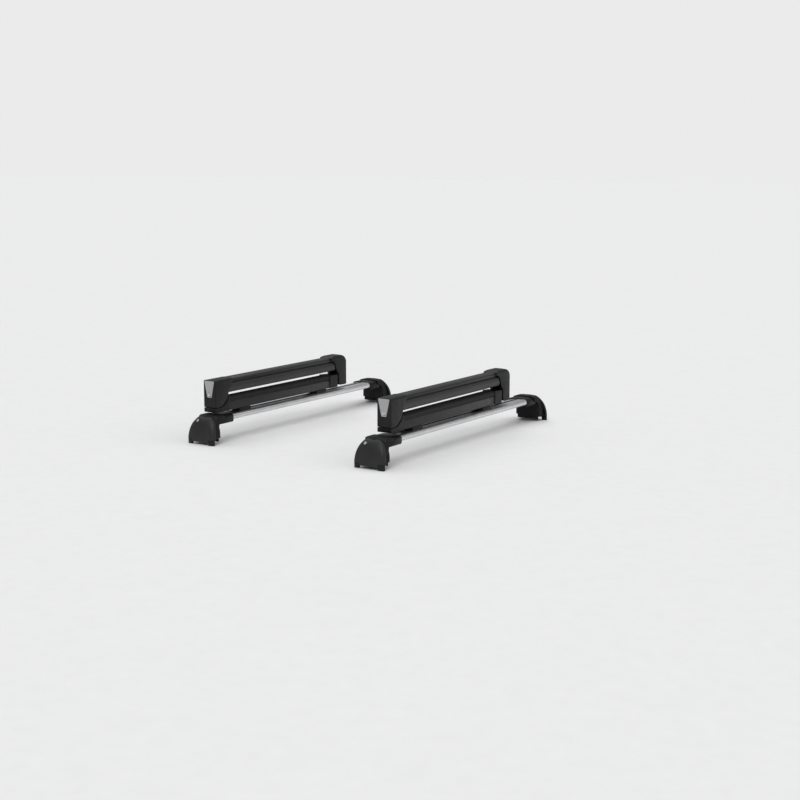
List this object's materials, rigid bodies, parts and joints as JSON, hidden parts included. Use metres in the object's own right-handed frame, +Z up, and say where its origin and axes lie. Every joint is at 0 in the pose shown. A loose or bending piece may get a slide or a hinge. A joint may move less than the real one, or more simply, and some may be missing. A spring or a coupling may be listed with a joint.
{
  "type": "roof ski rack",
  "caption": "Roof ski and snowboard rack: wing cross bars on clamping rail feet, each carrying a hinged, rubber-lined clamp arm with push-button latch.",
  "frame": {"origin": "centre of the rack's box at the height of the clamp prongs' tips", "axes": "+X along the cross bars, from the push-button side to the hinge side; +Y from the front bar to the rear bar; +Z up"},
  "size_m": [1.0138, 0.7712, 0.21],
  "materials": {
    "black_aluminium": "satin",
    "bar_aluminium": "satin",
    "carrier_plastic": "matte",
    "foot_plastic": "matte",
    "cover_plastic": "fine grain",
    "gloss_sleeve": "gloss",
    "button_grey": "satin",
    "lower_rubber": "matte",
    "upper_rubber": "matte",
    "strip_rubber": "matte",
    "pad_rubber": "matte",
    "jaw_metal": "matte",
    "lock_steel": "satin",
    "steel": "satin"
  },
  "bodies": {
    "rack": {"front_base_profile": "black_aluminium", "front_base_rubber": "lower_rubber", "front_base_end_cap": "carrier_plastic", "front_hinge_base": "carrier_plastic", "front_hinge_pin": "steel", "front_mount_saddles": "carrier_plastic", "front_mount_bolts": "steel", "front_crossbar": "bar_aluminium", "front_slot_strip": "strip_rubber", "front_bar_sleeves": "gloss_sleeve", "front_right_foot_body": "foot_plastic", "front_right_rail_pad": "pad_rubber", "front_left_foot_body": "foot_plastic", "front_left_rail_pad": "pad_rubber", "rear_base_profile": "black_aluminium", "rear_base_rubber": "lower_rubber", "rear_base_end_cap": "carrier_plastic", "rear_hinge_base": "carrier_plastic", "rear_hinge_pin": "steel", "rear_mount_saddles": "carrier_plastic", "rear_mount_bolts": "steel", "rear_crossbar": "bar_aluminium", "rear_slot_strip": "strip_rubber", "rear_bar_sleeves": "gloss_sleeve", "rear_right_foot_body": "foot_plastic", "rear_right_rail_pad": "pad_rubber", "rear_left_foot_body": "foot_plastic", "rear_left_rail_pad": "pad_rubber"},
    "front_arm": {"front_arm_profile": "black_aluminium", "front_arm_rubber": "upper_rubber", "front_hinge_cap": "carrier_plastic", "front_latch_housing": "carrier_plastic", "front_latch_spring": "steel"},
    "front_button": {"front_button": "button_grey"},
    "front_key_lock": {"front_key_lock": "lock_steel"},
    "front_latch_hook": {"front_latch_hook": "steel"},
    "front_right_foot_cover": {"front_right_foot_cover": "cover_plastic"},
    "front_right_foot_lock": {"front_right_foot_lock": "lock_steel"},
    "front_right_clamp_jaw": {"front_right_clamp_jaw": "jaw_metal"},
    "front_right_clamp_screw": {"front_right_clamp_screw": "steel"},
    "front_left_foot_cover": {"front_left_foot_cover": "cover_plastic"},
    "front_left_foot_lock": {"front_left_foot_lock": "lock_steel"},
    "front_left_clamp_jaw": {"front_left_clamp_jaw": "jaw_metal"},
    "front_left_clamp_screw": {"front_left_clamp_screw": "steel"},
    "rear_arm": {"rear_arm_profile": "black_aluminium", "rear_arm_rubber": "upper_rubber", "rear_hinge_cap": "carrier_plastic", "rear_latch_housing": "carrier_plastic", "rear_latch_spring": "steel"},
    "rear_button": {"rear_button": "button_grey"},
    "rear_key_lock": {"rear_key_lock": "lock_steel"},
    "rear_latch_hook": {"rear_latch_hook": "steel"},
    "rear_right_foot_cover": {"rear_right_foot_cover": "cover_plastic"},
    "rear_right_foot_lock": {"rear_right_foot_lock": "lock_steel"},
    "rear_right_clamp_jaw": {"rear_right_clamp_jaw": "jaw_metal"},
    "rear_right_clamp_screw": {"rear_right_clamp_screw": "steel"},
    "rear_left_foot_cover": {"rear_left_foot_cover": "cover_plastic"},
    "rear_left_foot_lock": {"rear_left_foot_lock": "lock_steel"},
    "rear_left_clamp_jaw": {"rear_left_clamp_jaw": "jaw_metal"},
    "rear_left_clamp_screw": {"rear_left_clamp_screw": "steel"}
  },
  "joints": [
    {"name": "front_arm_hinge", "type": "hinge", "parent": "rack", "child": "front_arm", "pos_m": [0.27, -0.33, 0.118], "axis": [0, 1, 0], "range_deg": [0, 80]},
    {"name": "front_button_press", "type": "slide", "parent": "front_arm", "child": "front_button", "axis": [1, 0, 0], "range_m": [0, 0.005], "stiffness_N_per_m": 900, "springref_m": -0.003, "deforming": ["front_latch_spring"]},
    {"name": "front_key_turn", "type": "hinge", "parent": "front_button", "child": "front_key_lock", "pos_m": [-0.424, -0.33, 0.156], "axis": [1, 0, 0], "range_deg": [0, 90]},
    {"name": "front_hook_release", "type": "hinge", "parent": "front_arm", "child": "front_latch_hook", "pos_m": [-0.402, -0.33, 0.15], "axis": [0, 1, 0], "range_deg": [0, 13.1]},
    {"name": "front_right_cover_hinge", "type": "hinge", "parent": "rack", "child": "front_right_foot_cover", "pos_m": [-0.477, -0.33, 0.0845], "axis": [0, 1, 0], "range_deg": [0, 70]},
    {"name": "front_right_foot_lock_turn", "type": "hinge", "parent": "front_right_foot_cover", "child": "front_right_foot_lock", "pos_m": [-0.4925, -0.31, 0.075], "axis": [0.8192, 0, -0.5736], "range_deg": [0, 90]},
    {"name": "front_right_clamp_screw_turn", "type": "hinge", "parent": "rack", "child": "front_right_clamp_screw", "pos_m": [-0.5014, -0.33, 0.036], "axis": [1, 0, 0], "range_deg": [0, 1008]},
    {"name": "front_right_clamp_jaw_slide", "type": "slide", "parent": "rack", "child": "front_right_clamp_jaw", "axis": [-1, 0, 0], "range_m": [0, 0.0035]},
    {"name": "front_left_cover_hinge", "type": "hinge", "parent": "rack", "child": "front_left_foot_cover", "pos_m": [0.477, -0.33, 0.0845], "axis": [0, -1, 0], "range_deg": [0, 70]},
    {"name": "front_left_foot_lock_turn", "type": "hinge", "parent": "front_left_foot_cover", "child": "front_left_foot_lock", "pos_m": [0.4925, -0.31, 0.075], "axis": [-0.8192, 0, -0.5736], "range_deg": [0, 90]},
    {"name": "front_left_clamp_screw_turn", "type": "hinge", "parent": "rack", "child": "front_left_clamp_screw", "pos_m": [0.5014, -0.33, 0.036], "axis": [-1, 0, 0], "range_deg": [0, 1008]},
    {"name": "front_left_clamp_jaw_slide", "type": "slide", "parent": "rack", "child": "front_left_clamp_jaw", "axis": [1, 0, 0], "range_m": [0, 0.0035]},
    {"name": "rear_arm_hinge", "type": "hinge", "parent": "rack", "child": "rear_arm", "pos_m": [0.238, 0.33, 0.118], "axis": [0, 1, 0], "range_deg": [0, 80]},
    {"name": "rear_button_press", "type": "slide", "parent": "rear_arm", "child": "rear_button", "axis": [1, 0, 0], "range_m": [0, 0.005], "stiffness_N_per_m": 900, "springref_m": -0.003, "deforming": ["rear_latch_spring"]},
    {"name": "rear_key_turn", "type": "hinge", "parent": "rear_button", "child": "rear_key_lock", "pos_m": [-0.456, 0.33, 0.156], "axis": [1, 0, 0], "range_deg": [0, 90]},
    {"name": "rear_hook_release", "type": "hinge", "parent": "rear_arm", "child": "rear_latch_hook", "pos_m": [-0.434, 0.33, 0.15], "axis": [0, 1, 0], "range_deg": [0, 13.1]},
    {"name": "rear_right_cover_hinge", "type": "hinge", "parent": "rack", "child": "rear_right_foot_cover", "pos_m": [-0.477, 0.33, 0.0845], "axis": [0, 1, 0], "range_deg": [0, 70]},
    {"name": "rear_right_foot_lock_turn", "type": "hinge", "parent": "rear_right_foot_cover", "child": "rear_right_foot_lock", "pos_m": [-0.4925, 0.35, 0.075], "axis": [0.8192, 0, -0.5736], "range_deg": [0, 90]},
    {"name": "rear_right_clamp_screw_turn", "type": "hinge", "parent": "rack", "child": "rear_right_clamp_screw", "pos_m": [-0.5014, 0.33, 0.036], "axis": [1, 0, 0], "range_deg": [0, 1008]},
    {"name": "rear_right_clamp_jaw_slide", "type": "slide", "parent": "rack", "child": "rear_right_clamp_jaw", "axis": [-1, 0, 0], "range_m": [0, 0.0035]},
    {"name": "rear_left_cover_hinge", "type": "hinge", "parent": "rack", "child": "rear_left_foot_cover", "pos_m": [0.477, 0.33, 0.0845], "axis": [0, -1, 0], "range_deg": [0, 70]},
    {"name": "rear_left_foot_lock_turn", "type": "hinge", "parent": "rear_left_foot_cover", "child": "rear_left_foot_lock", "pos_m": [0.4925, 0.35, 0.075], "axis": [-0.8192, 0, -0.5736], "range_deg": [0, 90]},
    {"name": "rear_left_clamp_screw_turn", "type": "hinge", "parent": "rack", "child": "rear_left_clamp_screw", "pos_m": [0.5014, 0.33, 0.036], "axis": [-1, 0, 0], "range_deg": [0, 1008]},
    {"name": "rear_left_clamp_jaw_slide", "type": "slide", "parent": "rack", "child": "rear_left_clamp_jaw", "axis": [1, 0, 0], "range_m": [0, 0.0035]}
  ],
  "couplings": [
    {"joint": "front_hook_release", "follows": "front_button_press", "rad_per_m": 45.379},
    {"joint": "front_right_clamp_screw_turn", "follows": "front_right_clamp_jaw_slide", "rad_per_m": 5026.5},
    {"joint": "front_left_clamp_screw_turn", "follows": "front_left_clamp_jaw_slide", "rad_per_m": 5026.5},
    {"joint": "rear_hook_release", "follows": "rear_button_press", "rad_per_m": 45.379},
    {"joint": "rear_right_clamp_screw_turn", "follows": "rear_right_clamp_jaw_slide", "rad_per_m": 5026.5},
    {"joint": "rear_left_clamp_screw_turn", "follows": "rear_left_clamp_jaw_slide", "rad_per_m": 5026.5}
  ]
}
